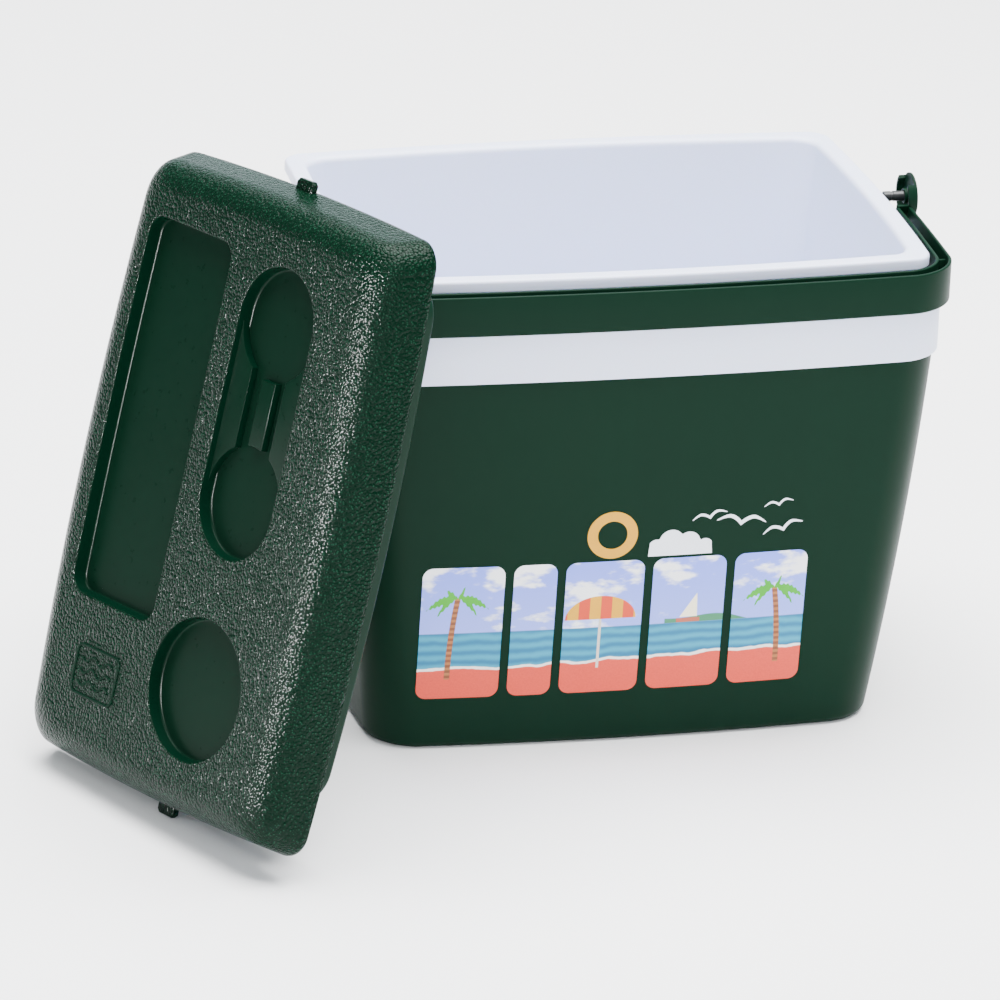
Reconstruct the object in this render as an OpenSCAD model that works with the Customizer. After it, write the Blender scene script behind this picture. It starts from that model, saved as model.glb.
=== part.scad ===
// Picnic cooler box: an insulated chest with a folding bail handle and a lift-off lid.
// The origin is the centre of the chest's underside. +X runs along its length, +Y to the back.
// The handle is folded down at the front, and the lid stands on its end, leaning at the
// front left corner of the chest.

/* [Chest] */
// Length of the green shell at its top, on the corner lines
shell_top_length = 394; // [392:1:396]
// Depth of the green shell at its top, on the corner lines
shell_top_depth = 276; // [274:1:278]
// Length of the green shell at its base
shell_base_length = 341; // [335:1:350]
// Depth of the green shell at its base
shell_base_depth = 233; // [230:1:240]
// Height of the green shell
shell_height = 265.5; // [262:0.5:266]
// Height of the white rim above the floor
rim_height = 333; // [331:1:334]
// Height of the ledge that the folded handle lies above
ledge_height = 299.5; // [298:0.5:299.5]
// Wall thickness of the green shell
shell_wall = 2.6; // [2:0.2:3.2]
// Wall thickness of the white liner
liner_wall = 2.4; // [2:0.2:3]
// Height of the inside floor
liner_floor = 36; // [30:1:50]
// How far the long sides bulge between their corners
long_bow = 7.5; // [4:0.5:8]
// How far the short sides bulge between their corners
short_bow = 4; // [2:0.5:5]
// How strongly the side walls curve from base to top
taper_curve = 0.36; // [0:0.02:0.5]

/* [Handle] */
// Length over the handle's arms, on the corner lines
handle_length = 411; // [410:0.5:412]
// Depth over the handle, taken front to back about the middle
handle_depth = 289; // [287:1:292]
// Height of the handle's channel
handle_height = 27; // [24:0.5:28]
// Width of the handle's channel
handle_width = 10.5; // [9.5:0.5:10.5]
// Wall thickness of the channel
handle_wall = 2.2; // [1.8:0.2:2.6]
// Height of the hinge axis
pivot_height = 330; // [329.5:0.5:330]
// Outer radius of the hub at the end of each arm
hub_radius = 15.5; // [15.5:0.5:17]
// Radius of the hinge stud
stud_radius = 3.5; // [3.2:0.1:3.5]

/* [Lid] */
// Length of the lid at its lower edge, on the corner lines
lid_length = 402; // [400:1:403]
// Depth of the lid at its lower edge
lid_depth = 268; // [266:1:270]
// Height of the lid above its lower edge
lid_height = 38; // [36:1:42]
// How far the plug reaches below the lid's lower edge
plug_depth = 27; // [20:1:27]
// Depth of the tray and the cup recesses
recess_depth = 9.5; // [8:0.5:12]
// Depth of the shelf between the two small cup recesses
shelf_depth = 4.5; // [3:0.5:6]
// Radius of the large recess
large_recess_radius = 46; // [40:1:47]
// Radius of the two small recesses
small_recess_radius = 36.5; // [32:0.5:37]
// Wall thickness of the lid
lid_wall = 2.6; // [2:0.2:3]

/* [Lid at rest] */
// Turn of the leaning lid about the vertical
lid_turn = 24; // [23:0.5:26]
// Lean of the lid from the vertical
lid_lean = 15.6; // [15:0.1:17]
// Roll of the lid, which stands on its lug and its rear corner
lid_roll = 2.7; // [2:0.1:3]

/* [Hidden] */

green = "#24432f";
lid_green = "#20402c";
white = "#dde0ea";
foam_white = "#f4f4f0";
stud_black = "#15181a";

corner_steps = 6;
long_steps = 10;
short_steps = 6;
shell_corner = 30;
foot_round = 6;
fit_gap = 0.3;

shell_top = [shell_top_length / 2, shell_top_depth / 2];
shell_base = [shell_base_length / 2, shell_base_depth / 2];
collar_half = shell_top + [2.5, 2.5];
handle_half = [handle_length / 2, handle_depth / 2];
lip_half = [189.5, 129.5];
lip_corner = 12;
lip_height = 8;
rim_width = 13;
upstand_half = lip_half - [4.5, 4.5];
opening_half = lip_half - [rim_width, rim_width];
tub_base_half = [157, 100];
tub_corner = 14;
skirt_depth = 11;
handle_base = ledge_height + 0.5;
lid_half = [lid_length / 2, lid_depth / 2];

// ---- outlines and lofts ----

function corner_arc(centre, r, start) = [
    for (i = [0:corner_steps])
        centre + r * [cos(start + 90 * i / corner_steps), sin(start + 90 * i / corner_steps)]
];

function side_points(a, b, count) = [for (i = [1:count - 1]) a + (b - a) * i / count];

// A rounded rectangle, counter-clockwise from its front right corner.
function outline(half, r) = let (inner = half - [r, r]) concat(
    corner_arc([inner.x, -inner.y], r, -90),
    side_points([half.x, -inner.y], [half.x, inner.y], short_steps),
    corner_arc([inner.x, inner.y], r, 0),
    side_points([inner.x, half.y], [-inner.x, half.y], long_steps),
    corner_arc([-inner.x, inner.y], r, 90),
    side_points([-half.x, inner.y], [-half.x, -inner.y], short_steps),
    corner_arc([-inner.x, -inner.y], r, 180),
    side_points([-inner.x, -half.y], [inner.x, -half.y], long_steps)
);

// The same outline with its sides bulging by short_bow in X and long_bow in Y.
function ring(half, r, z) = [
    for (p = outline(half, r)) [
        p.x * (1 + short_bow / half.x * (1 - pow(p.y / half.y, 2))),
        p.y * (1 + long_bow / half.y * (1 - pow(p.x / half.x, 2))),
        z
    ]
];

// A closed solid through a stack of rings that have the same number of points.
module loft(rings) {
    count = len(rings[0]);
    last = len(rings) - 1;
    points = [for (one = rings) each one];
    sides = [
        for (j = [0:last - 1], i = [0:count - 1])
            let (a = j * count + i, b = j * count + (i + 1) % count)
                each [[a, a + count, b + count], [a, b + count, b]]
    ];
    lower = [for (i = [0:count - 1]) i];
    upper = [for (i = [count - 1:-1:0]) last * count + i];
    polyhedron(points, concat([lower], sides, [upper]));
}

// A straight block with the bowed outline.
module block(half, r, z0, z1) {
    loft([ring(half, r, z0), ring(half, r, z1)]);
}

module along_x(x0, x1, r) {
    translate([x0, 0, pivot_height])
        rotate([0, 90, 0])
            cylinder(h = x1 - x0, r = r, $fn = 64);
}

// ---- chest ----

function taper(t) = t + taper_curve * t * (1 - t);

function shell_half(z) = shell_base + (shell_top - shell_base) * taper(z / shell_height);

function shell_ring(z, inset) =
    ring(shell_half(z) - [inset, inset], shell_corner - inset, z);

foot_rings = [
    for (a = [0:22.5:67.5])
        shell_ring(foot_round * (1 - cos(a)), foot_round * (1 - sin(a)))
];
wall_levels = [for (i = [0:8]) foot_round + (shell_height - foot_round) * i / 8];

module outer_shell() {
    cavity_levels = [shell_wall + 1, 40, 90, 150, 205, shell_height - skirt_depth, shell_height + 1];
    color(green)
        difference() {
            loft(concat(foot_rings, [for (z = wall_levels) shell_ring(z, 0)]));
            loft([for (z = cavity_levels) shell_ring(z, shell_wall)]);
        }
}

function tub_half(z, grow) = let (t = (z - liner_floor) / (rim_height - 5 - liner_floor))
    tub_base_half + (opening_half - tub_base_half) * t + [grow, grow];

function tub_ring(z, grow) = ring(tub_half(z, grow), tub_corner + grow, z);

// Sections of the tub, rounded in at its floor; grow moves them out by a wall.
function tub_rings(grow, bottom, top) = let (floor_round = 10) [
    ring(tub_half(bottom, grow - floor_round), tub_corner - 5, bottom),
    ring(tub_half(bottom, grow - 3), tub_corner - 1, bottom + 3),
    tub_ring(bottom + floor_round, grow),
    tub_ring(top, grow)
];

module tub_outside(grow, bottom, top) {
    loft(tub_rings(grow, bottom, top));
}

module foam_jacket() {
    top = shell_height - 13;
    inset = shell_wall + fit_gap;
    levels = [shell_wall + 1 + fit_gap, 40, 90, 150, 205, top];
    grow = liner_wall + fit_gap;
    color(foam_white)
        difference() {
            loft([for (z = levels) shell_ring(z, inset)]);
            tub_outside(grow, liner_floor - grow, top + 1);
        }
}

module stud_boss(side) {
    boss_outer = upstand_half.x + short_bow - 1;
    mirror([side < 0 ? 1 : 0, 0, 0])
        translate([boss_inner, -9, rim_height - 16])
            cube([boss_outer - boss_inner, 18, 14.5]);
}

// Skirt, collar, upstand and lip, as one stack of stepped rings.
module rim_outside() {
    lip_round = 2.5;
    collar_base = shell_height + 0.2;
    skirt_inset = shell_wall + fit_gap;
    skirt = shell_half(shell_height - skirt_depth) - [skirt_inset, skirt_inset];
    loft([
        ring(skirt, 27, shell_height - skirt_depth),
        ring(skirt, 27, collar_base),
        ring(collar_half, 30, collar_base),
        ring(collar_half, 30, ledge_height),
        ring(upstand_half, lip_corner, ledge_height),
        ring(upstand_half, lip_corner, rim_height - lip_height),
        ring(lip_half, lip_corner, rim_height - lip_height),
        ring(lip_half, lip_corner, rim_height - lip_round),
        ring(lip_half - [0.8, 0.8], lip_corner - 0.8, rim_height - 0.8),
        ring(lip_half - [lip_round, lip_round], lip_corner - lip_round, rim_height)
    ]);
}

module rim_hollow() {
    wall = [liner_wall, liner_wall];
    skirt_inset = shell_wall + fit_gap + 2.3;
    skirt = shell_half(shell_height - skirt_depth) - [skirt_inset, skirt_inset];
    shoulder = shell_height + 2.6;
    loft([
        ring(skirt, 25, shell_height - skirt_depth - 1),
        ring(skirt, 25, shoulder),
        ring(collar_half - wall, 28, shoulder),
        ring(collar_half - wall, 28, ledge_height - liner_wall),
        ring(upstand_half - wall, lip_corner - 2, ledge_height - liner_wall),
        ring(upstand_half - wall, lip_corner - 2, rim_height - liner_wall)
    ]);
}

// White tub, rim, upstand and collar, moulded in one piece.
module inner_liner() {
    tub_top = rim_height - 5;
    color(white)
        difference() {
            union() {
                difference() {
                    rim_outside();
                    rim_hollow();
                }
                tub_outside(liner_wall, liner_floor - liner_wall, rim_height - 1.6);
                for (side = [-1, 1]) stud_boss(side);
            }
            loft(concat(tub_rings(0, liner_floor, tub_top), [
                tub_ring(tub_top + 1.2, 0.4),
                tub_ring(tub_top + 3.5, 2.2),
                tub_ring(tub_top + 6, 6)
            ]));
            for (side = [0, 1])
                mirror([side, 0, 0]) {
                    along_x(stud_inner, stud_shoulder + 1, spigot_radius);
                    along_x(stud_shoulder, 220, stud_radius);
                }
        }
}

boss_inner = opening_half.x + short_bow + 1.1;
stud_inner = boss_inner + 1.7;
stud_outer = 212.5;
stud_shoulder = lip_half[0] + short_bow + 0.3;
spigot_radius = stud_radius - 1.3;

module stud() {
    color(stud_black)
        difference() {
            union() {
                along_x(stud_inner, stud_shoulder + 1, spigot_radius);
                along_x(stud_shoulder, stud_outer, stud_radius);
            }
            along_x(stud_outer - 3, stud_outer + 1, stud_radius - 2);
        }
}

module stud_left() {
    mirror([1, 0, 0]) stud();
}

module stud_right() {
    stud();
}

// ---- handle ----

hub_inner = 207.2;
hub_face = 211.8;
hub_outer = 213.8;
pocket_radius = hub_radius - 2.5;
bore_clearance = 0.07;
rib_positions = [-145, 0, 145];

module handle_band(inset_outer, inset_inner, z0, z1) {
    difference() {
        block(handle_half - [inset_outer, inset_outer], 34 - inset_outer, z0, z1);
        block(handle_half - [inset_inner, inset_inner], 34 - inset_inner, z0 - 1, z1 + 1);
    }
}

module front_half_only() {
    intersection() {
        children();
        translate([-300, -200, 200])
            cube([600, 194, 200]);
    }
}

// A channel of U section, open upwards, round the front and along both sides.
module handle_channel() {
    top = handle_base + handle_height;
    difference() {
        handle_band(0, handle_width, handle_base, top);
        handle_band(handle_wall, handle_width - handle_wall, handle_base + handle_wall, top + 1);
    }
}

module handle_ribs() {
    rib = 2;
    depth = handle_height - 4;
    intersection() {
        handle_band(handle_wall / 2, handle_width - handle_wall / 2, handle_base + 1, 400);
        translate([0, 0, handle_base + 1])
            union() {
                for (x = rib_positions)
                    translate([x - rib / 2, -200, 0])
                        cube([rib, 150, depth]);
                for (side = [-1, 1])
                    translate([side > 0 ? 170 : -240, -108, 0])
                        cube([70, rib, depth]);
            }
    }
}

// The cup at the end of an arm. The stud turns in its boss, and the slot at its top
// takes the lug of the closed lid.
module hub() {
    boss_radius = 5.2;
    slot_width = 18.4;
    difference() {
        union() {
            difference() {
                along_x(hub_inner, hub_outer, hub_radius);
                along_x(hub_inner - 1, hub_face, pocket_radius);
                translate([hub_inner - 1, -slot_width / 2, pivot_height])
                    cube([hub_face - hub_inner + 1, slot_width, hub_radius + 1]);
            }
            along_x(hub_inner + 0.5, hub_face + 0.5, boss_radius);
        }
        along_x(hub_inner - 1, stud_outer + fit_gap, stud_radius + bore_clearance);
    }
}

module arm_end(side) {
    intersection() {
        front_half_only()
            handle_band(0, handle_width, handle_base, handle_base + handle_height);
        mirror([side < 0 ? 1 : 0, 0, 0])
            difference() {
                along_x(190, hub_face, hub_radius);
                along_x(189, hub_face + 1, pocket_radius);
            }
    }
}

module handle() {
    color(green) {
        difference() {
            front_half_only() {
                union() {
                    handle_channel();
                    handle_ribs();
                }
            }
            along_x(-hub_face, hub_face, pocket_radius);
        }
        for (side = [-1, 1]) arm_end(side);
        hub();
        mirror([1, 0, 0]) hub();
    }
}

// ---- lid, drawn closed with its lower edge at Z = 0 and then stood up ----

lid_corner = 16;
edge_radius = 22;
edge_start = 15;
lug_half_width = 8.6;
lug_reach = 211.5;
lug_z = [2.5, 7];

// Lid sections as [inset, height]: a short upright, a sloping wall, then an arc over to
// the flat top.
lid_sections = concat(
    [[0, 0], [0, 3]],
    [
        for (a = [edge_start:12.5:90.1])
            [4 + edge_radius * (1 - cos(a)), lid_height - edge_radius * (1 - sin(a))]
    ]
);

function lid_ring(section, wall) =
    ring(lid_half - [section.x + wall, section.x + wall], lid_corner + 0.3 * section.x, section.y);

// The lid's resting place: stood on its left end, rolled, leaned and turned.
module stand_up() {
    lid_centre = [-276.5, -166.5, 203.14];
    translate(lid_centre)
        rotate([0, 0, lid_turn])
            rotate([0, lid_lean, 0])
                rotate([-lid_roll, 0, 0])
                    rotate([0, -90, 0])
                        children();
}

module rounded_plate(size, r, h) {
    translate([-size.x / 2, -size.y / 2, 0])
        linear_extrude(h)
            union() {
                translate([r, 0]) square([size.x - 2 * r, size.y]);
                translate([0, r]) square([size.x, size.y - 2 * r]);
                for (x = [r, size.x - r], y = [r, size.y - r])
                    translate([x, y]) circle(r, $fn = 48);
            }
}

tray_centre = [35.5, 63];
tray_size = [251, 88];
cup_y = -38.5;
large_cup_x = -117.5;
small_cup_x = [123, 6.5];

module small_cups(r, h) {
    for (x = small_cup_x)
        translate([x, cup_y, 0]) cylinder(h = h, r = r, $fn = 64);
}

// All recesses, grown by a wall in plan and by a floor in depth.
module recesses(grow, deeper) {
    deep = lid_height - recess_depth - deeper;
    shelf = lid_height - shelf_depth - deeper;
    above = 5;
    between = small_cup_x[0] - small_cup_x[1];
    translate([tray_centre.x, tray_centre.y, deep])
        rounded_plate(tray_size + [2 * grow, 2 * grow], 12 + grow, recess_depth + deeper + above);
    translate([large_cup_x, cup_y, deep])
        cylinder(h = recess_depth + deeper + above, r = large_recess_radius + grow, $fn = 96);
    translate([0, 0, deep])
        small_cups(small_recess_radius + grow, recess_depth + deeper + above);
    translate([small_cup_x[1], cup_y - small_recess_radius - grow, shelf])
        cube([between, 2 * (small_recess_radius + grow), shelf_depth + deeper + above]);
    channel_y = [cup_y + 6.2, cup_y - 16.5];
    channel_width = [12, 8.4];
    for (i = [0, 1])
        translate([small_cup_x[1], channel_y[i] - grow, deep])
            cube([between, channel_width[i] + 2 * grow, recess_depth + deeper]);
}

module lid_outside(wall) {
    loft([
        for (i = [0:len(lid_sections) - 1])
            let (s = lid_sections[i])
                lid_ring([s.x, i == 0 ? s.y - (wall > 0 ? 1 : 0) : s.y - wall], wall)
    ]);
}

module lid_shell() {
    color(lid_green)
        stand_up()
            difference() {
                union() {
                    lid_outside(0);
                    for (side = [-1, 1])
                        translate([side > 0 ? 195 : -lug_reach, -lug_half_width, lug_z[0]])
                            cube([lug_reach - 195, 2 * lug_half_width, lug_z[1] - lug_z[0]]);
                }
                difference() {
                    lid_outside(lid_wall);
                    recesses(lid_wall, lid_wall);
                }
                recesses(0, 0);
            }
}

// The plug's base, from the underside of the lid's plate.
function plug_half(z) = [175, 115] + [0.11, 0.11] * z;

module plug(inset, bottom, top) {
    edge = 4;
    loft([
        ring(plug_half(bottom) - [inset + edge, inset + edge], 20, bottom),
        ring(plug_half(bottom) - [inset + 1.2, inset + 1.2], 22.5, bottom + 1.2),
        ring(plug_half(bottom + edge) - [inset, inset], 24 - inset, bottom + edge),
        ring(plug_half(top) - [inset, inset], 24 - inset, top)
    ]);
}

plate_thickness = 2.2;

module lid_plate() {
    edge = lid_wall + 0.4 + fit_gap;
    color(green)
        stand_up()
            difference() {
                union() {
                    block(lid_half - [edge, edge], lid_corner, 0, plate_thickness);
                    plug(0, -plug_depth, 1);
                }
                plug(plate_thickness, -plug_depth + plate_thickness, plate_thickness + 1);
            }
}

// Insulation between the lid's top and its plate, down into the plug.
module lid_foam() {
    gap = lid_wall + 0.4;
    base = plate_thickness + fit_gap;
    color(foam_white)
        stand_up()
            union() {
                difference() {
                    lid_outside(gap);
                    translate([-300, -300, -50]) cube([600, 600, 50 + base]);
                    recesses(gap, gap);
                }
                plug(plate_thickness + fit_gap, -plug_depth + plate_thickness + fit_gap, base + 1);
            }
}

// A plain raised badge of three wavy lines in a frame.
module lid_emblem() {
    size = [34, 46];
    raised = 0.6;
    color(lid_green)
        stand_up()
            translate([-137, 62, lid_height + 0.02]) {
                difference() {
                    rounded_plate(size, 6, raised);
                    translate([0, 0, -1]) rounded_plate(size - [4, 4], 4, raised + 2);
                }
                for (x = [-8, 0, 8], k = [-1, 0, 1])
                    translate([x + (k == 0 ? 2 : 0), 11 * k, 0])
                        linear_extrude(raised)
                            difference() {
                                circle(6.4, $fn = 40);
                                circle(4.8, $fn = 40);
                                translate([k == 0 ? -10 : 0, -10]) square([10, 20]);
                            }
            }
}

// ---- printed decoration on the front wall ----

transfer_thickness = 0.3;

// Keeps the part of a thin skin over the front wall that lies behind a flat shape.
module front_transfer() {
    levels = [30, 60, 90, 120, 150, 185];
    skin = 0.08;
    intersection() {
        difference() {
            loft([for (z = levels) shell_ring(z, -skin - transfer_thickness)]);
            loft([for (z = [levels[0] - 1, 60, 90, 120, 150, 186]) shell_ring(z, -skin)]);
        }
        rotate([90, 0, 0])
            linear_extrude(200)
                children();
    }
}

panel_edges = [[-147, -92], [-86, -57], [-51, 2], [8, 58], [64, 114]];
panel_base = 38;
panel_top = 134;

module front_panels() {
    r = 7;
    color("#7fb9d6")
        front_transfer()
            for (edge = panel_edges) {
                translate([edge[0], panel_base + r])
                    square([edge[1] - edge[0], panel_top - panel_base - 2 * r]);
                translate([edge[0] + r, panel_base])
                    square([edge[1] - edge[0] - 2 * r, panel_top - panel_base]);
                for (x = [edge[0] + r, edge[1] - r], z = [panel_base + r, panel_top - r])
                    translate([x, z]) circle(r, $fn = 40);
            }
}

module front_sun() {
    color("#f2c21c")
        front_transfer()
            translate([-21.5, 153])
                difference() {
                    circle(17, $fn = 64);
                    circle(10, $fn = 48);
                }
}

module front_cloud() {
    puffs = [[9, 142, 6], [19, 146, 8.5], [31, 145, 7.5], [42, 141.5, 5.5]];
    color("white")
        front_transfer()
            intersection() {
                union() {
                    for (puff = puffs)
                        translate([puff[0], puff[1]]) circle(puff[2], $fn = 40);
                    translate([9, 136]) square([33, 7]);
                }
                translate([0, 136]) square([60, 40]);
            }
}

// A gull in flight: two thin crescents that meet at the body.
module bird(span, tilt) {
    rotate(tilt)
        for (side = [-1, 1])
            translate([side * span / 4, 0])
                difference() {
                    circle(span / 4, $fn = 40);
                    translate([0, -span / 14]) circle(span / 4.1, $fn = 40);
                    translate([-span, -span * 1.06]) square([2 * span, span]);
                }
}

module front_birds() {
    flock = [[44, 163, 24, 12], [66, 158, 34, -6], [91, 169, 20, 10], [95, 151, 28, 16]];
    color("white")
        front_transfer()
            for (one = flock)
                translate([one[0], one[1]]) bird(one[2], one[3]);
}

outer_shell();
foam_jacket();
inner_liner();
stud_left();
stud_right();
handle();
lid_shell();
lid_plate();
lid_foam();
lid_emblem();
front_panels();
front_sun();
front_cloud();
front_birds();
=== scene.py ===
"""Looks of a green picnic cooler box: smooth body, white liner, U-section bail handle and
pebble-grained lid. Lengths are in millimetres until a piece is placed, in the CAD frame."""

import math

import bmesh
import bpy
import numpy as np
from mathutils import Matrix, Vector
from mathutils.geometry import delaunay_2d_cdt


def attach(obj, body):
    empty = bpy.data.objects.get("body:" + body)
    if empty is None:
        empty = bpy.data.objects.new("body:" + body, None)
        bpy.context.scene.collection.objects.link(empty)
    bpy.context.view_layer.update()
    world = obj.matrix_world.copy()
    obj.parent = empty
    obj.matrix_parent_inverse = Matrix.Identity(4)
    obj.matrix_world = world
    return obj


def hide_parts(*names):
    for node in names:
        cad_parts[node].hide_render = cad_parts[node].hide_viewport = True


MM = 0.001

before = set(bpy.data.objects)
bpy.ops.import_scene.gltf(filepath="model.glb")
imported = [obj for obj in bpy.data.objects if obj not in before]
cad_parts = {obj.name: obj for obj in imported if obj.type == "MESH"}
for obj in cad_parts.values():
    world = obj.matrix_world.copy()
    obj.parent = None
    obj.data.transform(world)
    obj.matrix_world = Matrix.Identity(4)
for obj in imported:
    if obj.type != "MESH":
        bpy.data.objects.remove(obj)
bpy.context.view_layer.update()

# ---------------------------------------------------------------- outlines and meshes

# How far the sides along X and along Y bulge between their corners.
BOW_LONG = 7.5
BOW_SHORT = 4.0
CORNER_STEPS = 16
LONG_STEPS = 44
SHORT_STEPS = 30
# Points closer than this many millimetres are joined.
WELD = 0.004
# Edges that turn by more than this many radians are bevelled.
BEVEL_ABOVE = 0.9


def arc(centre, radius, start, stop, steps):
    """Points on an arc, angles in degrees, both ends included."""
    angles = np.radians(np.linspace(start, stop, steps + 1))
    x, y = centre
    return np.column_stack([x + radius * np.cos(angles), y + radius * np.sin(angles)])


def straight(a, b, steps):
    """Points between a and b, without either end."""
    t = np.linspace(0, 1, steps + 1)[1:-1, None]
    return np.array(a) * (1 - t) + np.array(b) * t


def round_loop(x0, x1, y0, y1, r, corner_steps, x_steps=1, y_steps=1):
    """A rounded rectangle, counter-clockwise from its front right corner. The sides along
    each axis are cut into that axis's number of steps."""
    left, right, low, high = x0 + r, x1 - r, y0 + r, y1 - r
    return np.vstack([
        arc((right, low), r, -90, 0, corner_steps),
        straight((x1, low), (x1, high), y_steps),
        arc((right, high), r, 0, 90, corner_steps),
        straight((right, y1), (left, y1), x_steps),
        arc((left, high), r, 90, 180, corner_steps),
        straight((x0, high), (x0, low), y_steps),
        arc((left, low), r, 180, 270, corner_steps),
        straight((left, y0), (right, y0), x_steps),
    ])


def bow(points, hx, hy):
    """Bulges the sides of an outline of half sizes hx and hy."""
    x, y = points[:, 0], points[:, 1]
    return np.column_stack([
        x * (1 + BOW_SHORT / hx * (1 - (y / hy) ** 2)),
        y * (1 + BOW_LONG / hy * (1 - (x / hx) ** 2)),
    ])


def ring(hx, hy, r, z):
    """One level of a box with bulged sides: half sizes, corner radius and height."""
    flat = bow(round_loop(-hx, hx, -hy, hy, r, CORNER_STEPS, LONG_STEPS, SHORT_STEPS), hx, hy)
    return np.column_stack([flat, np.full(len(flat), z)])


def soften(path, cuts, steps=6):
    """Rounds the corners of a path of points of any number of values. A cut is how far from
    the corner its curve starts, measured on the first and last values."""
    path = [np.array(p, float) for p in path]
    out = []
    for i, (corner, cut) in enumerate(zip(path, cuts)):
        if cut == 0 or i in (0, len(path) - 1):
            out.append(corner)
            continue
        ends = []
        for other in (path[i - 1], path[i + 1]):
            step = other - corner
            ends.append(corner + step * cut / math.hypot(step[0], step[-1]))
        for t in np.linspace(0, 1, steps + 1):
            out.append((1 - t) ** 2 * ends[0] + 2 * t * (1 - t) * corner + t * t * ends[1])
    return out


class Shape:
    """Points and faces of one piece, gathered from several surfaces."""

    def __init__(self):
        self.points = []
        self.faces = []
        self.slots = []

    def add(self, points, faces, slot=0):
        first = len(self.points)
        self.points += [tuple(p) for p in points]
        self.faces += [[first + i for i in face] for face in faces]
        self.slots += [slot] * len(faces)

    def loft(self, rings, slot=0, caps=(True, True)):
        """A surface through closed rings of equal length, with a cap at either end."""
        count, last = len(rings[0]), len(rings) - 1
        faces = [
            (j * count + i, j * count + (i + 1) % count,
             (j + 1) * count + (i + 1) % count, (j + 1) * count + i)
            for j in range(last) for i in range(count)
        ]
        if caps[0]:
            faces.append(list(range(count))[::-1])
        if caps[1]:
            faces.append([last * count + i for i in range(count)])
        self.add(np.vstack(rings), faces, slot)

    def turned(self, profile, steps, start=0, stop=360):
        """A closed profile of (x, radius) turned about the hinge. Angles are in degrees from
        straight up."""
        full = stop - start == 360
        angles = np.radians(np.linspace(start, stop, steps + 1))
        angles = angles[:-1] if full else angles
        rings = [
            np.array([(x, r * math.sin(a), PIVOT_Z + r * math.cos(a)) for x, r in profile])
            for a in angles
        ]
        if full:
            rings.append(rings[0])
        self.loft(rings, caps=(not full, not full))

    def slab(self, loops, place, low, high, slot=0, inner=(), edge=0.0):
        """The region inside flat loops, thickened from low to high by place(x, y, height)."""
        flat, tris = triangulate(loops, inner)
        count = len(flat)
        points = [place(x, y, low) for x, y in flat] + [place(x, y, high) for x, y in flat]
        sides = [pair for a, b, c in tris for pair in ((a, b), (b, c), (c, a))]
        known = set(sides)
        rims = [(a, b) for a, b in sides if (b, a) not in known]
        faces = [[i + count for i in t] for t in tris] + [t[::-1] for t in tris]
        faces += [[a, b, b + count, a + count] for a, b in rims]
        if edge:
            points, faces = bevelled(points, faces, edge)
        self.add(points, faces, slot)

    def piece(self, name, body, materials, node, place=None, sharp=38):
        """Makes the object, in metres, riding on a body and standing for a CAD node. Edges
        steeper than sharp degrees stay crisp."""
        mesh = bpy.data.meshes.new(name)
        points = np.array(self.points) * MM
        if place is not None:
            points = [place @ Vector(p) for p in points]
        mesh.from_pydata([tuple(p) for p in points], [], self.faces)
        for material in materials:
            mesh.materials.append(material)
        mesh.polygons.foreach_set("material_index", self.slots)
        work = bmesh.new()
        work.from_mesh(mesh)
        bmesh.ops.remove_doubles(work, verts=work.verts, dist=WELD * MM)
        bmesh.ops.recalc_face_normals(work, faces=work.faces)
        for face in work.faces:
            face.smooth = True
        for line in work.edges:
            pair = line.link_faces
            line.smooth = len(pair) == 2 and line.calc_face_angle(0) < math.radians(sharp)
        work.to_mesh(mesh)
        work.free()
        obj = bpy.data.objects.new(name, mesh)
        bpy.context.scene.collection.objects.link(obj)
        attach(obj, body)
        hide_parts(node)
        return obj


def inside(loop, x, y):
    """Whether a point lies inside a closed flat loop."""
    a = np.array([p[:2] for p in loop], float)
    b = np.roll(a, -1, axis=0)
    spans = (a[:, 1] > y) != (b[:, 1] > y)
    a, b = a[spans], b[spans]
    cross = a[:, 0] + (y - a[:, 1]) * (b[:, 0] - a[:, 0]) / (b[:, 1] - a[:, 1])
    return int((cross > x).sum()) % 2 == 1


def triangulate(loops, inner=()):
    """Triangles inside the first closed flat loop, leaving out the other loops' insides."""
    points, edges = [], []
    for loop in loops:
        first = len(points)
        points += [Vector(p) for p in loop]
        edges += [(first + i, first + (i + 1) % len(loop)) for i in range(len(loop))]
    points += [Vector(p) for p in inner]
    flat, _, tris, _, _, _ = delaunay_2d_cdt(points, edges, [], 1, 1e-4)
    flat = [tuple(p) for p in flat]
    kept = []
    for tri in tris:
        x, y = (sum(flat[i][k] for i in tri) / len(tri) for k in (0, 1))
        if inside(loops[0], x, y) and not any(inside(hole, x, y) for hole in loops[1:]):
            kept.append(list(tri))
    return flat, kept


def bevelled(points, faces, width):
    """The same solid with its sharp edges rounded."""
    work = bmesh.new()
    verts = [work.verts.new(p) for p in points]
    for face in faces:
        work.faces.new([verts[i] for i in face])
    work.normal_update()
    lines = [e for e in work.edges
             if len(e.link_faces) == 2 and e.calc_face_angle(0) > BEVEL_ABOVE]
    bmesh.ops.bevel(work, geom=lines, offset=width, segments=3, profile=0.5, affect="EDGES",
                    clamp_overlap=True)
    work.verts.index_update()
    out = [tuple(v.co) for v in work.verts], [[v.index for v in f.verts] for f in work.faces]
    work.free()
    return out


# ---------------------------------------------------------------- materials


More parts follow.
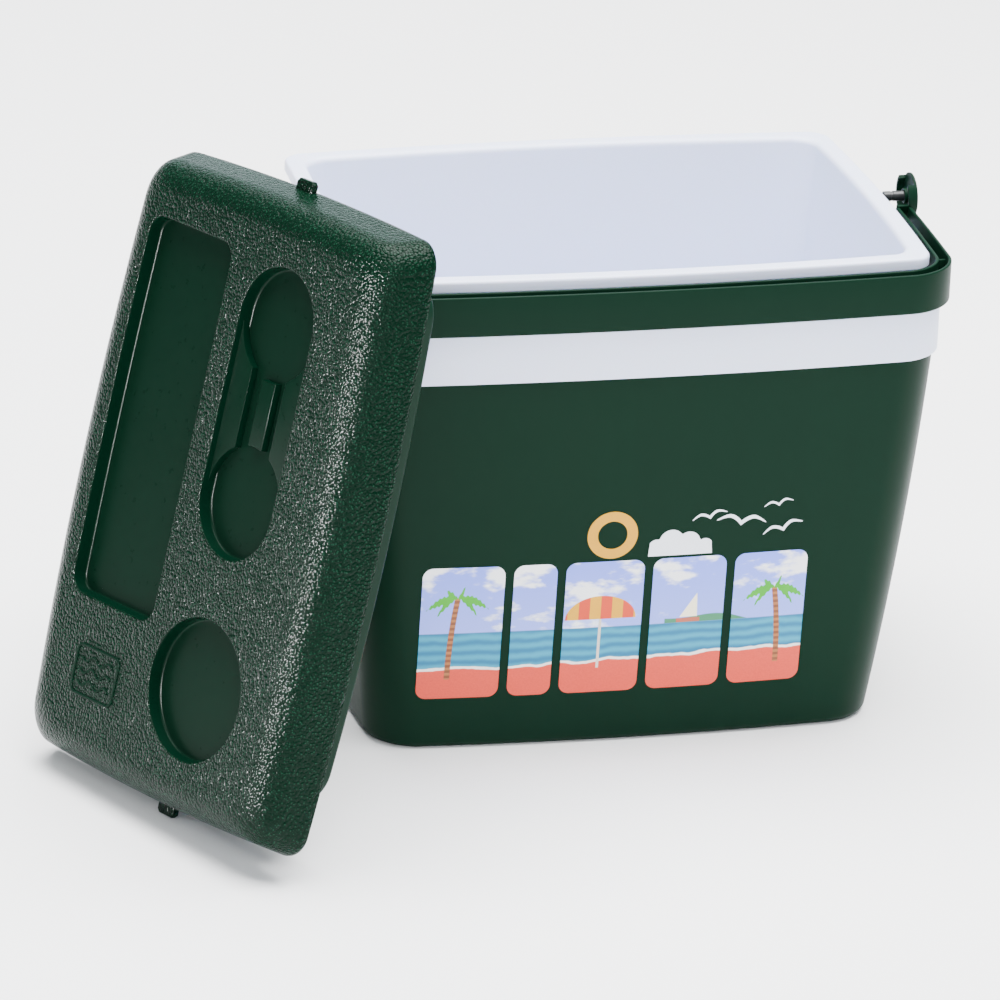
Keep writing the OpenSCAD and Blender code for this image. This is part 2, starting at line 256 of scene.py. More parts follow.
class Field:
    """A number that varies over a surface, built from shader nodes."""

    def __init__(self, tree, socket):
        self.tree = tree
        self.socket = socket

    def math(self, operation, *others, clamp=False):
        node = self.tree.nodes.new("ShaderNodeMath")
        node.operation = operation
        node.use_clamp = clamp
        for slot, value in zip(node.inputs, (self,) + others):
            if isinstance(value, Field):
                self.tree.links.new(value.socket, slot)
            else:
                slot.default_value = value
        return Field(self.tree, node.outputs[0])

    def __add__(self, other):
        return self.math("ADD", other)

    def __sub__(self, other):
        return self.math("SUBTRACT", other)

    def __mul__(self, other):
        return self.math("MULTIPLY", other)

    def __neg__(self):
        return self.math("MULTIPLY", -1.0)

    def most(self, other):
        return self.math("MAXIMUM", other)

    def size(self):
        return self.math("ABSOLUTE")

    def step(self, at, width):
        """Runs smoothly from 0 to 1 over width, centred where the field equals at."""
        node = self.tree.nodes.new("ShaderNodeMapRange")
        node.interpolation_type = "SMOOTHSTEP"
        self.tree.links.new(self.socket, node.inputs["Value"])
        node.inputs["From Min"].default_value = at - width / 2
        node.inputs["From Max"].default_value = at + width / 2
        return Field(self.tree, node.outputs["Result"])


class Look:
    """A material under construction: one Principled shader and its fields."""

    def __init__(self, name, **constants):
        self.material = bpy.data.materials.new(name)
        self.material.use_nodes = True
        self.tree = self.material.node_tree
        self.shader = self.tree.nodes["Principled BSDF"]
        for key, value in constants.items():
            self.shader.inputs[key.replace("_", " ")].default_value = value
        where = self.tree.nodes.new("ShaderNodeTexCoord")
        self.place = where.outputs["Object"]
        parts = self.tree.nodes.new("ShaderNodeSeparateXYZ")
        self.tree.links.new(self.place, parts.inputs[0])
        self.x, self.y, self.z = (Field(self.tree, out) for out in parts.outputs)

    def noise(self, scale, detail=2.0, rough=0.5, stretch=None):
        node = self.tree.nodes.new("ShaderNodeTexNoise")
        node.inputs["Scale"].default_value = scale
        node.inputs["Detail"].default_value = detail
        node.inputs["Roughness"].default_value = rough
        self.tree.links.new(self.stretched(stretch), node.inputs["Vector"])
        return Field(self.tree, node.outputs[0])

    def cells(self, scale, smooth):
        """Distance from the middle of the nearest of many small cells."""
        node = self.tree.nodes.new("ShaderNodeTexVoronoi")
        node.feature = "SMOOTH_F1"
        node.inputs["Scale"].default_value = scale
        node.inputs["Smoothness"].default_value = smooth
        self.tree.links.new(self.place, node.inputs["Vector"])
        return Field(self.tree, node.outputs["Distance"])

    def stretched(self, stretch):
        """The place on the surface, turned and scaled by stretch if there is one."""
        if stretch is None:
            return self.place
        node = self.tree.nodes.new("ShaderNodeMapping")
        node.inputs["Rotation"].default_value = stretch[0]
        node.inputs["Scale"].default_value = stretch[1]
        self.tree.links.new(self.place, node.inputs["Vector"])
        return node.outputs[0]

    def mix(self, factor, low, high):
        """A colour between low and high, which are colours or earlier mixes."""
        node = self.tree.nodes.new("ShaderNodeMix")
        node.data_type = "RGBA"
        self.tree.links.new(factor.socket, node.inputs[0])
        for slot, colour in ((node.inputs[6], low), (node.inputs[7], high)):
            if isinstance(colour, bpy.types.NodeSocket):
                self.tree.links.new(colour, slot)
            else:
                slot.default_value = linear(colour)
        return node.outputs[2]

    def colour(self, socket):
        self.tree.links.new(socket, self.shader.inputs["Base Color"])

    def roughness(self, field):
        self.tree.links.new(field.socket, self.shader.inputs["Roughness"])

    def bump(self, height, depth):
        """Relief whose height field spans 0 to 1 over a depth in millimetres."""
        node = self.tree.nodes.new("ShaderNodeBump")
        node.inputs["Strength"].default_value = 1.0
        node.inputs["Distance"].default_value = depth * MM
        self.tree.links.new(height.socket, node.inputs["Height"])
        self.tree.links.new(node.outputs[0], self.shader.inputs["Normal"])


def linear(colour):
    """A display colour as 0 to 255 values, in linear light."""
    parts = [c / 255 for c in colour]
    light = [c / 12.92 if c <= 0.04045 else ((c + 0.055) / 1.055) ** 2.4 for c in parts]
    return (*light, 1.0)


def smooth_green():
    """Injection-moulded satin plastic of the body, handle and plug."""
    look = Look("smooth_green", IOR=1.49, Specular_IOR_Level=0.05)
    broad = look.noise(9, 3)
    fine = look.noise(420, 2)
    flow = look.noise(60, 4, stretch=((0, 0, 0), (1, 1, 0.12)))
    look.colour(look.mix(broad * 0.6 + flow * 0.4, (6, 31, 20), (10, 36, 24)))
    look.roughness(fine * 0.08 + flow * 0.12 + 0.3)
    look.bump(fine * 0.5 + look.noise(26, 2) * 0.5, 0.02)
    return look.material


def grained_green():
    """Pebble grain of the lid's top and sides: low domes, their tops paler with painted highlight
    and the hollows between them darker with painted shade.
    """
    look = Look("grained_green", IOR=1.49, Specular_IOR_Level=0.06)
    cell = look.cells(500, 0.03)
    crumb = look.cells(1250, 0.1)
    broad = look.noise(14, 3)
    relief = -(cell * cell) * 1.6 - crumb * crumb * 0.2 + 1.0
    # Painted highlight: the pale tops of the domes stand in for the sparkle of light on the
    # grain, and the dark hollows between them are painted shade.
    painted_glints = -(cell + broad * 0.12 + crumb * 0.14).step(0.38, 0.24) + 1.0
    look.colour(look.mix(painted_glints, (1, 24, 13), (21, 53, 38)))
    look.roughness(broad * 0.04 - painted_glints * 0.05 + 0.17)
    look.bump(relief, 0.36)
    return look.material


def recess_green():
    """Smooth floors of the recesses, with faint drawn streaks."""
    look = Look("recess_green", IOR=1.49, Specular_IOR_Level=0.04)
    streaks = look.noise(160, 4, 0.6, stretch=((0.3, -0.27, 0.42), (0.05, 1, 1)))
    broad = look.noise(12, 3)
    look.colour(look.mix(broad * 0.5 + streaks * 0.5, (1, 26, 15), (3, 31, 19)))
    look.roughness(streaks * 0.1 + 0.24)
    look.bump(streaks, 0.02)
    return look.material


def liner_white():
    """Slightly blue white of the tub, rim and band."""
    look = Look("liner_white", IOR=1.49, Specular_IOR_Level=0.45, Subsurface_Weight=0.12,
                Subsurface_Scale=0.004)
    broad = look.noise(7, 3)
    fine = look.noise(380, 2)
    look.colour(look.mix(broad * 0.7 + fine * 0.3, (212, 220, 246), (222, 229, 250)))
    look.roughness(fine * 0.1 + broad * 0.06 + 0.34)
    look.bump(fine * 0.6 + broad * 0.4, 0.02)
    return look.material


def stud_black():
    """Dark satin plastic of the hinge studs."""
    look = Look("stud_black", IOR=1.5, Specular_IOR_Level=0.5)
    fine = look.noise(700, 3)
    look.colour(look.mix(fine, (14, 16, 17), (26, 29, 30)))
    look.roughness(fine * 0.15 + 0.3)
    look.bump(fine, 0.03)
    return look.material


def foam_white():
    """Beaded foam, hidden inside the walls and the lid."""
    look = Look("foam_white", Roughness=0.85)
    beads = look.cells(320, 0.2)
    look.colour(look.mix(beads, (248, 247, 240), (214, 213, 205)))
    look.bump(beads, 0.5)
    return look.material


YELLOW_INK = (216, 156, 0)
HORIZON_Z = 86
PALM_FOOT_Z = 52


def ink(name, light, dark):
    """A printed colour with the faint dots of its screen."""
    look = Look(name, IOR=1.45, Specular_IOR_Level=0.4)
    dots = look.cells(1400, 0.2)
    broad = look.noise(30, 3)
    look.colour(look.mix(dots * 0.5 + broad * 0.5, light, dark))
    look.roughness(dots * 0.1 + broad * 0.1 + 0.36)
    look.bump(dots, 0.015)
    return look.material


def sky_and_shore(look, x, z, wobble):
    """Sky with soft clouds, a banded sea, a line of foam, sand and low far hills."""
    haze = look.noise(26, 4, 0.55, stretch=((0, 0, 0), (1, 1, 2.2)))
    height = (z * 0.011 - 0.62).math("ADD", 0.0, clamp=True)
    picture = look.mix(height, (152, 168, 250), (112, 134, 246))
    picture = look.mix((haze + z * 0.002).step(0.79, 0.1), picture, (247, 249, 254))
    swell = (z * 0.9 + wobble * 6).math("SINE") * 0.5 + 0.5
    sea = look.mix(swell, (2, 104, 144), (30, 146, 176))
    picture = look.mix(z.step(HORIZON_Z, 0.7), sea, picture)
    shore = z + wobble * 9 - x * 0.015
    picture = look.mix(shore.step(67.5, 0.6), (238, 232, 226), picture)
    sand = look.mix(look.noise(900, 2), (222, 72, 46), (196, 54, 38))
    picture = look.mix(shore.step(65.5, 0.6), sand, picture)
    hills = z - (x * 0.045).math("SINE") * 3.5 - (x * 0.11).math("COSINE") * 1.6 - 87.5
    land = (-hills.step(0, 0.5) + 1.0) * x.step(18, 1.0) * z.step(HORIZON_Z, 0.5)
    return look.mix(land, picture, (52, 122, 84))


def parasol(look, picture, x, z):
    """A striped half disc on a pole."""
    dx, dz = x + 26, z - 92
    radius = (dx * dx + dz * dz * 2.0).math("SQRT")
    dome = (-radius.step(24, 0.5) + 1.0) * dz.step(0, 0.4)
    stripes = (dx * 0.42).math("SINE").step(0, 0.25)
    pole = (-dx.size().step(0.9, 0.3) + 1.0) * (-z.step(93, 0.4) + 1.0) * z.step(56, 0.4)
    picture = look.mix(pole, picture, (206, 198, 186))
    return look.mix(dome, picture, look.mix(stripes, YELLOW_INK, (206, 60, 24)))


def palm(look, picture, x, z, wobble, foot, lean, top):
    """A leaning trunk, from the sand at x = foot up to z = top, with a fan of six leaves."""
    rise = z - PALM_FOOT_Z
    centre = x - foot - rise * rise * lean * 0.012
    trunk = (-centre.size().step(1.9, 0.4) + 1.0) * z.step(PALM_FOOT_Z, 0.5)
    trunk = trunk * (-z.step(top, 0.5) + 1.0)
    bark = (z * 1.6).math("SINE").step(0, 0.8)
    picture = look.mix(trunk, picture, look.mix(bark, (116, 62, 28), (160, 98, 50)))
    crown = foot + (top - PALM_FOOT_Z) ** 2 * lean * 0.012
    for reach, drop in ((21, 9), (14, 15), (-21, 9), (-14, 15), (5, -9), (-8, -6)):
        out = (x - crown) * math.copysign(1, reach)
        share = out * (1 / abs(reach))
        spine = z - top + share * share * drop
        ragged = (out * 2.2).math("SINE") * 0.8
        thick = (share * math.pi).math("SINE").most(0.0) * 3.1 + ragged * 0.6
        leaf = (thick - spine.size()).step(0.3, 0.5) * out.step(0, 0.5)
        leaf = leaf * (-out.step(abs(reach), 0.5) + 1.0)
        picture = look.mix(leaf, picture, look.mix(wobble, (20, 132, 6), (70, 176, 10)))
    return picture


def sailing_boat(look, picture, x, z):
    """One pale sail above a low hull, on the horizon."""
    sx, sz = x - 34, z - 94
    sail = (sx - sz * 0.65 + 3.4).step(0, 0.3) * (-(sx + sz * 0.05).step(6, 0.3) + 1.0)
    sail = sail * sz.step(-4, 0.3) * (-sz.step(13, 0.3) + 1.0)
    picture = look.mix(sail, picture, (250, 240, 210))
    hull = (-sx.size().step(8, 0.4) + 1.0) * (-(sz + 6.2).size().step(1.5, 0.3) + 1.0)
    return look.mix(hull, picture, (170, 84, 62))


def beach_print():
    """A plain seaside view, seen through the row of windows on the chest's front."""
    look = Look("beach_print", IOR=1.45, Specular_IOR_Level=0.4)
    x, z = look.x * 1000, look.z * 1000
    wobble = look.noise(38, 3)
    picture = sky_and_shore(look, x, z, wobble)
    picture = parasol(look, picture, x, z)
    picture = palm(look, picture, x, z, wobble, foot=-127, lean=0.10, top=112)
    picture = palm(look, picture, x, z, wobble, foot=97, lean=-0.12, top=108)
    look.colour(sailing_boat(look, picture, x, z))
    dots = look.cells(1400, 0.2)
    look.roughness(dots * 0.12 + 0.36)
    look.bump(dots, 0.015)
    return look.material


GREEN = smooth_green()
GRAIN = grained_green()
RECESS = recess_green()
WHITE = liner_white()
BLACK = stud_black()
FOAM = foam_white()
YELLOW = ink("ink_yellow", YELLOW_INK, (200, 142, 0))
PAPER = ink("ink_white", (246, 248, 252), (226, 231, 244))
BEACH = beach_print()

# ---------------------------------------------------------------- chest

SHELL_HEIGHT = 265.5
SHELL_WALL = 2.6
FOOT_ROUND = 6.0
PIVOT_Z = 330.0
RIM_Z = 333.0
LIP_Z = 325.0
LEDGE_Z = 299.5
BAND_Z = 265.7
SKIRT_Z = 254.5
TUB_FLOOR_Z = 36.0
LINER_WALL = 2.4
# Half length, half depth and corner radius of the liner's outer levels.
LIP = (189.5, 129.5, 12)
UPSTAND = (185, 125, 12)
BAND = (199.5, 140.5, 30)
SKIRT = (193.3, 134.5, 27)
SKIRT_INSIDE = (191, 132.2, 25)


def shell_half(z):
    """Half length and half depth of the green shell, whose walls curve as they widen."""
    t = z / SHELL_HEIGHT
    g = t + 0.36 * t * (1 - t)
    return 170.5 + 26.5 * g, 116.5 + 21.5 * g


def shell_ring(z, inset=0.0):
    hx, hy = shell_half(z)
    return ring(hx - inset, hy - inset, 30 - inset, z)


def outer_shell():
    """The green shell, from the middle of its floor out round the foot, up and back down
    inside."""
    shape = Shape()
    rings = [shell_ring(1.2, 26), shell_ring(1.2, 19), shell_ring(0.5, 17.6), shell_ring(0, 16.4)]
    for a in np.linspace(0, 90, 13)[:-1]:
        s, c = math.sin(math.radians(a)), math.cos(math.radians(a))
        rings.append(shell_ring(FOOT_ROUND * (1 - c), FOOT_ROUND * (1 - s)))
    rings += [shell_ring(z) for z in np.linspace(FOOT_ROUND, SHELL_HEIGHT, 34)]
    rings += [shell_ring(z, SHELL_WALL) for z in (SHELL_HEIGHT, 180, 90, 30, 3.6)]
    shape.loft(rings)
    return shape.piece("body_shell", "chest", [GREEN], "outer_shell")


def tub_section(z, grow=0.0):
    """A level of the tub's inside, or of its outside when grown by the wall."""
    t = (z - TUB_FLOOR_Z) / 292
    return 157 + 19.5 * t + grow, 100 + 16.5 * t + grow, 14 + grow, z


def inner_liner():
    """The tub, lip, upstand, ledge and white band: one wall, from the floor's inside up,
    over the rim, down the outside and back under the floor. Each level has a corner cut."""
    levels = [
        ((132, 75, 8, TUB_FLOOR_Z), 0), (tub_section(TUB_FLOOR_Z), 12), (tub_section(110), 0),
        (tub_section(190), 0), (tub_section(270), 0), (tub_section(RIM_Z), 4.5),
        ((*LIP, RIM_Z), 2.4), ((*LIP, LIP_Z), 0.9), ((*UPSTAND, LIP_Z), 0.6),
        ((*UPSTAND, LEDGE_Z), 2.2), ((*BAND, LEDGE_Z), 1.3), ((*BAND, BAND_Z), 0.9),
        ((*SKIRT, BAND_Z), 0), ((*SKIRT, SKIRT_Z), 0), ((*SKIRT_INSIDE, SKIRT_Z), 0),
        ((*SKIRT_INSIDE, 268), 0), (tub_section(268, LINER_WALL), 0),
        (tub_section(40, LINER_WALL), 0), ((150, 94, 12, TUB_FLOOR_Z - LINER_WALL), 0),
    ]
    shape = Shape()
    shape.loft([ring(*section) for section in soften(*zip(*levels))])
    return shape.piece("white_liner", "chest", [WHITE], "inner_liner")


def stud(side):
    """A hinge stud: a thin end in the lip, a shoulder, a shallow groove and a hollow tip."""
    profile = [(184, 0.01), (184, 2.2), (193.8, 2.2), (193.8, 3.3), (194, 3.5),
               (198.5, 3.5), (198.8, 3.2), (200.2, 3.2), (200.5, 3.5), (212, 3.5),
               (212.5, 3), (212.5, 1.7), (209.5, 1.5), (209.5, 0.01)]
    shape = Shape()
    shape.turned([(side * x, r) for x, r in profile], steps=48)
    name = "left" if side < 0 else "right"
    return shape.piece("hinge_stud_" + name, "chest", [BLACK], "stud_" + name)


# ---------------------------------------------------------------- handle

HANDLE_BASE = 300.0
HANDLE_TOP = 327.0
HANDLE_WIDTH = 10.5
HANDLE_WALL = 2.2
HANDLE_HALF = (205.5, 144.5)
HANDLE_CORNER = 34
RIB_X = (-145, 0, 145)
RIB_Y = -107
HUB_R = 15.5
POCKET_R = 13.0
SLOT_HALF = 9.2
BOSS_R, BORE_R = 5.2, 3.57
# Along X: the arm's inner face, the cup's mouth, its floor and its outside.
ARM_IN, HUB_IN, HUB_FACE, HUB_OUT = 199.2, 207.2, 211.8, 213.8


def handle_path(inset, z):
    """The handle's line at one inset and height, from the left arm's end round the front."""
    hx, hy, r = HANDLE_HALF[0] - inset, HANDLE_HALF[1] - inset, HANDLE_CORNER - inset
    drop = z - PIVOT_Z
    end = -max(6.0, math.sqrt(max(0.0, (HUB_R - 0.4) ** 2 - drop ** 2)))
    fore = -(hy - r)
    left = straight((-hx, end), (-hx, fore), 26)
    flat = np.vstack([
        [(-hx, end)], left, arc((-hx + r, fore), r, 180, 270, CORNER_STEPS + 4),
        straight((-hx + r, -hy), (hx - r, -hy), 64),
        arc((hx - r, fore), r, 270, 360, CORNER_STEPS + 4), left[::-1] * (-1, 1), [(hx, end)],
    ])
    flat = bow(flat, hx, hy)
    return np.column_stack([flat, np.full(len(flat), z)])


def rib(shape, centre, turn):
    """A thin wall across the channel at centre, turned by an angle in radians."""
    c, s = math.cos(turn), math.sin(turn)
    half = HANDLE_WIDTH / 2 - HANDLE_WALL / 2

    def place(x, y, h):
        return centre[0] + c * x - s * y, centre[1] + s * x + c * y, HANDLE_BASE + 1.5 + h
    box = [(-1.0, -half), (1.0, -half), (1.0, half), (-1.0, half)]
    shape.slab([box], place, 0, HANDLE_TOP - HANDLE_BASE - 5.5, edge=0.4)


def handle():
    """The U-section channel, open upwards, with its ribs and hubs."""
    shape = Shape()
    w, t = HANDLE_WIDTH, HANDLE_WALL
    corners = [
        (w / 2, HANDLE_BASE), (0, HANDLE_BASE), (0, HANDLE_TOP), (t, HANDLE_TOP),
        (t, HANDLE_BASE + t), (w - t, HANDLE_BASE + t), (w - t, HANDLE_TOP), (w, HANDLE_TOP),
        (w, HANDLE_BASE), (w / 2, HANDLE_BASE),
    ]
    section = soften(corners, [0, 1.6, 0.9, 0.7, 1.2, 1.2, 0.7, 0.7, 1.6, 0], steps=4)[:-1]
    lines = [handle_path(inset, z) for inset, z in section]
    shape.loft([np.array(points) for points in zip(*lines)])

    end, front = HANDLE_HALF[0] - w / 2, HANDLE_HALF[1] - w / 2
    for x in RIB_X:
        rib(shape, (x, -(front + BOW_LONG * (1 - (x / end) ** 2))), 0)
    for side in (-1, 1):
        x = side * (end + BOW_SHORT * (1 - (RIB_Y / front) ** 2))
        rib(shape, (x, RIB_Y), math.radians(90 + side * 3))
        hub(shape, side)
    return shape.piece("bail_handle", "handle", [GREEN], "handle")


def tube_wall(root, end, first, second, cuts=(0.5, 0.5)):
    """Profile of a tube's wall from x = root to x = end, with the edges at its end rounded.
    Its last point repeats its first."""
    corners = [(root, first), (end, first), (end, second), (root, second), (root, first)]
    return soften(corners, [0, *cuts, 0, 0], steps=4)


def hub(shape, side):
    """The cup at an arm's end: a round plate, a wall open at the top, the lower wall that
    runs in to the arm, and a boss."""
    def turn(profile, *span):
        shape.turned([(side * x, r) for x, r in profile], *span)
    plate = [(HUB_FACE, 0.01), (HUB_FACE, HUB_R), (HUB_OUT, HUB_R), (HUB_OUT, 0.01)]
    turn(soften(plate, [0, 0.5, 1.1, 0], steps=5), 72)
    gap = math.degrees(math.asin(SLOT_HALF / POCKET_R))
    turn(tube_wall(HUB_FACE + 1, HUB_IN, POCKET_R, HUB_R, (0.6, 0.6))[:-1], 72, gap, 360 - gap)
    turn(tube_wall(HUB_IN + 2, ARM_IN, POCKET_R, HUB_R - 0.2)[:-1], 24, 180, 262)
    turn(tube_wall(HUB_FACE + 0.5, HUB_IN + 0.5, BOSS_R, BORE_R, (0.5, 0.3)), 48)


# ---------------------------------------------------------------- lid

LID_HALF = (200.8, 133.75)
LID_CORNER = 16
LID_TOP = 38.0
LID_WALL = 2.6
RECESS_DEPTH = 9.5
SHELF_DEPTH = 4.5
PLUG_DEPTH = 27.0
PLUG_HALF = (175, 115)
PLUG_CORNER = 24
PLATE_INSET = 3.3
PLATE_THICKNESS = 2.2
# The arc from the lid's wall to its top: its radius, its centre's inset and its first angle.
LID_ARC = 22.0
LID_ARC_AT = 26.0
LID_ARC_START = math.radians(15)
CUP_Y = -38.5
CUP_R = 36.5
CUP_X = (6.5, 123.0)
LARGE_X, LARGE_R = -117.5, 46.0
# Y from the cups' centre line, where the shelf between the cups is raised.
SHELF_BARS = ((18.2, CUP_R + 1), (-8.1, 6.2), (-CUP_R - 1, -16.5))
LUG_ROOT, LUG_REACH, LUG_HALF, LUG_CHAMFER = 196, 211.5, 8.6, 2.2
LUG_Z = (2.5, 7)
# Stands the lid, drawn flat with its underside at Z = 0, on its end against the chest.
LID_PLACE = (
    Matrix.Translation((-0.2765, -0.1665, 0.20314))
    @ Matrix.Rotation(math.radians(24), 4, "Z")
    @ Matrix.Rotation(math.radians(15.6), 4, "Y")
    @ Matrix.Rotation(math.radians(-2.7), 4, "X")
    @ Matrix.Rotation(math.radians(-90), 4, "Y")
)


def lid_ring(inset, z):
    """One level of the lid's outside."""
    return ring(LID_HALF[0] - inset, LID_HALF[1] - inset, LID_CORNER + 0.3 * inset, z)


def lid_arc(a):
    """Inset and height on the arc that joins the lid's wall to its top."""
    return LID_ARC_AT - LID_ARC * math.cos(a), LID_TOP - LID_ARC * (1 - math.sin(a))


def large_loop(grow):
    """The large round recess."""
    return arc((LARGE_X, CUP_Y), LARGE_R + grow, 0, 360, 96)[:-1]


def cups_loop(grow):
    """Both small cups and the straight sides that join them."""
    r = CUP_R + grow
    near, far = CUP_X
    high, low = CUP_Y + r, CUP_Y - r
    return np.vstack([
        arc((far, CUP_Y), r, -90, 90, 48), straight((far, high), (near, high), 20),
        arc((near, CUP_Y), r, 90, 270, 48), straight((near, low), (far, low), 20),
    ])


def tray_loop(grow):
    """The long tray, whose outer side bulges a little."""
    x0, x1, y0, y1 = -90 - grow, 161 + grow, 19 - grow, 105 + grow
    loop = round_loop(x0, x1, y0, y1, 12 + grow, 14, 40, 16)
    span = (loop[:, 0] - x0) / (x1 - x0)
    share = (loop[:, 1] - y0) / (y1 - y0)
    loop[:, 1] += 8 * span * (1 - span) * share ** 3
    return loop


def shelf_bar(shape, low, high):
    """A raised bar between the two small cups, from y = low to y = high."""
    r = CUP_R + 0.4
    ys = np.linspace(low, high, 25)
    reach = np.sqrt(np.maximum(r * r - (ys - CUP_Y) ** 2, 0))
    loop = [(CUP_X[1] - d, y) for d, y in zip(reach, ys)]
    loop += [(CUP_X[0] + d, y) for d, y in zip(reach[::-1], ys[::-1])]
    shape.slab([loop], lambda x, y, h: (x, y, h), LID_TOP - RECESS_DEPTH - 0.5,
               LID_TOP - SHELF_DEPTH, 1, edge=0.7)


def lug(shape, side):
    """The tab at one end of the lid, which lies in the hub's slot when the lid is shut."""
    tip, flat = LUG_REACH - LUG_CHAMFER, LUG_HALF - LUG_CHAMFER
    tab = [(LUG_ROOT, -LUG_HALF), (tip, -LUG_HALF), (LUG_REACH, -flat), (LUG_REACH, flat),
           (tip, LUG_HALF), (LUG_ROOT, LUG_HALF)]
    shape.slab([tab], lambda x, y, h: (side * x, y, h), *LUG_Z, edge=0.9)


def lid_shell():
    """The grained shell: a lip turned in at the bottom, a sloping wall, the arc to the top,
    the recesses with smooth floors, and the lugs."""
    shape = Shape()
    levels = [(LID_WALL, 12), (LID_WALL, 5), (LID_WALL, 0.5), (2.1, 0), (0.5, 0), (0.12, 0.2),
              (0, 0.7)]
    inset, height = lid_arc(LID_ARC_START)
    levels += [(inset * t, 3 + (height - 3) * t) for t in np.linspace(0, 1, 9)[:-1]]
    levels += [lid_arc(a) for a in np.linspace(LID_ARC_START, math.pi / 2, 21)]
    rings = [lid_ring(*level) for level in levels]
    shape.loft(rings, caps=(True, False))

    loops = [tray_loop, cups_loop, large_loop]
    rim = 1.9
    flat, tris = triangulate([rings[-1][:, :2]] + [loop(rim) for loop in loops])
    shape.add([(x, y, LID_TOP) for x, y in flat], tris)
    floor_z = LID_TOP - RECESS_DEPTH
    path = soften([(rim, LID_TOP), (0.35, LID_TOP), (-0.35, floor_z), (-5, floor_z)],
                  [0, 1.3, 1.7, 0], steps=7)
    for loop in loops:
        sections = [np.column_stack([loop(g), np.full(len(loop(g)), z)]) for g, z in path]
        shape.loft(sections[:7], caps=(False, False))
        shape.loft(sections[6:], slot=1, caps=(False, True))
    for low, high in SHELF_BARS:
        shelf_bar(shape, CUP_Y + low, CUP_Y + high)
    for side in (-1, 1):
        lug(shape, side)
    return shape.piece("lid_top", "lid", [GRAIN, RECESS], "lid_shell", LID_PLACE)


def plug_ring(inset, z):
    """One level of the plug, which narrows downwards."""
    hx, hy = (half + 0.11 * z - inset for half in PLUG_HALF)
    return ring(hx, hy, PLUG_CORNER - inset, z)


def lid_plate():
    """The lid's base plate and the plug below it, from the plug's underside up."""
    shape = Shape()
    plate = [half - PLATE_INSET for half in LID_HALF]
    low = -PLUG_DEPTH
    levels = [(22, low + 0.8), (16, low + 0.8), (15, low), (4, low)]
    for a in np.radians(np.linspace(15, 90, 8)):
        levels.append((4 * (1 - math.sin(a)), low + 4 * (1 - math.cos(a))))
    levels += [(0, -10), (0, -1.2), (-0.4, -0.3), (-1.2, 0)]
    rings = [plug_ring(*level) for level in levels]
    rings += [ring(*plate, LID_CORNER, z) for z in (0, PLATE_THICKNESS)]
    rings.append(plug_ring(3, PLATE_THICKNESS))
    shape.loft(rings)
    return shape.piece("lid_plug", "lid", [GREEN], "lid_plate", LID_PLACE)


def lid_emblem():
    """A plain badge: three rows of low waves in a rounded frame."""
    shape = Shape()

    def badge(x, y, h):
        return -137 + x, 62 + y, LID_TOP + h

    frame_loops = [round_loop(-hx, hx, -hy, hy, r, 8) for hx, hy, r in ((17, 23, 6), (15, 21, 4))]
    shape.slab(frame_loops, badge, -0.2, 0.6, edge=0.25)
    ys = np.linspace(-16, 16, 41)
    for x in (-8, 0, 8):
        crest = x + 2.2 * np.sin(ys * math.pi / 8)
        loop = [(c - 0.9, y) for c, y in zip(crest, ys)]
        loop += [(c + 0.9, y) for c, y in zip(crest[::-1], ys[::-1])]
        shape.slab([loop[::-1]], badge, -0.2, 0.6, edge=0.25)
    return shape.piece("lid_badge", "lid", [RECESS], "lid_emblem", LID_PLACE)


# ---------------------------------------------------------------- print on the front wall


PRINT_THICKNESS = 0.3
WINDOWS_X = ((-147, -92), (-86, -57), (-51, 2), (8, 58), (64, 114))
WINDOWS_Z = (38, 134)
WINDOW_CORNER = 7
SUN_PLACE = (-21.5, 153)
CLOUD_BASE = 136.0
# Puffs of the cloud: x, z and radius.
PUFFS = ((9, 142, 6), (19, 146, 8.5), (31, 145, 7.5), (42, 141.5, 5.5))
# Birds: x, z, span and tilt in degrees.
FLOCK = ((44, 163, 24, 12), (66, 158, 34, -6), (91, 169, 20, 10), (95, 151, 28, 16))


def on_front(x, z, lift):
    """A point lift millimetres in front of the shell's front wall."""
    hx, hy = shell_half(z)
    return x, -(hy + BOW_LONG * (1 - (x / hx) ** 2)) - lift, z


def grid_inside(x0, x1, z0, z1, pitch=4.0):
    """Points inside a rectangle, which let a print follow the wall's curve."""
    xs = np.linspace(x0, x1, max(2, round((x1 - x0) / pitch)) + 1)[1:-1]
    zs = np.linspace(z0, z1, max(2, round((z1 - z0) / pitch)) + 1)[1:-1]
    return [(x, z) for x in xs for z in zs]


def front_print(name, groups, material, node, grids=None):
    """A print of several flat groups of loops, each with a grid of inner points if needed."""
    shape = Shape()
    for group, grid in zip(groups, grids or [()] * len(groups)):
        shape.slab(group, on_front, 0.0, PRINT_THICKNESS, inner=grid)
    return shape.piece(name, "chest", [material], node, sharp=50)


def gull(x, z, span, tilt):
    """A gull in flight, as one thin outline with drooping wing tips."""
    half = span / 2
    t = np.linspace(-1, 1, 31)
    upper = 0.30 * half * (1 - np.abs(2 * np.abs(t) - 1) ** 1.7) * (1 - 0.25 * np.abs(t))
    lower = upper - 0.17 * half * (1 - np.abs(t)) ** 0.6 - 0.02 * half
    upper = upper + 0.01 * half
    points = [(a * half, b) for a, b in zip(t, lower)]
    points += [(a * half, b) for a, b in zip(t[::-1], upper[::-1])]
    c, s = math.cos(math.radians(tilt)), math.sin(math.radians(tilt))
    return [(x + c * a - s * b, z + s * a + c * b) for a, b in points]


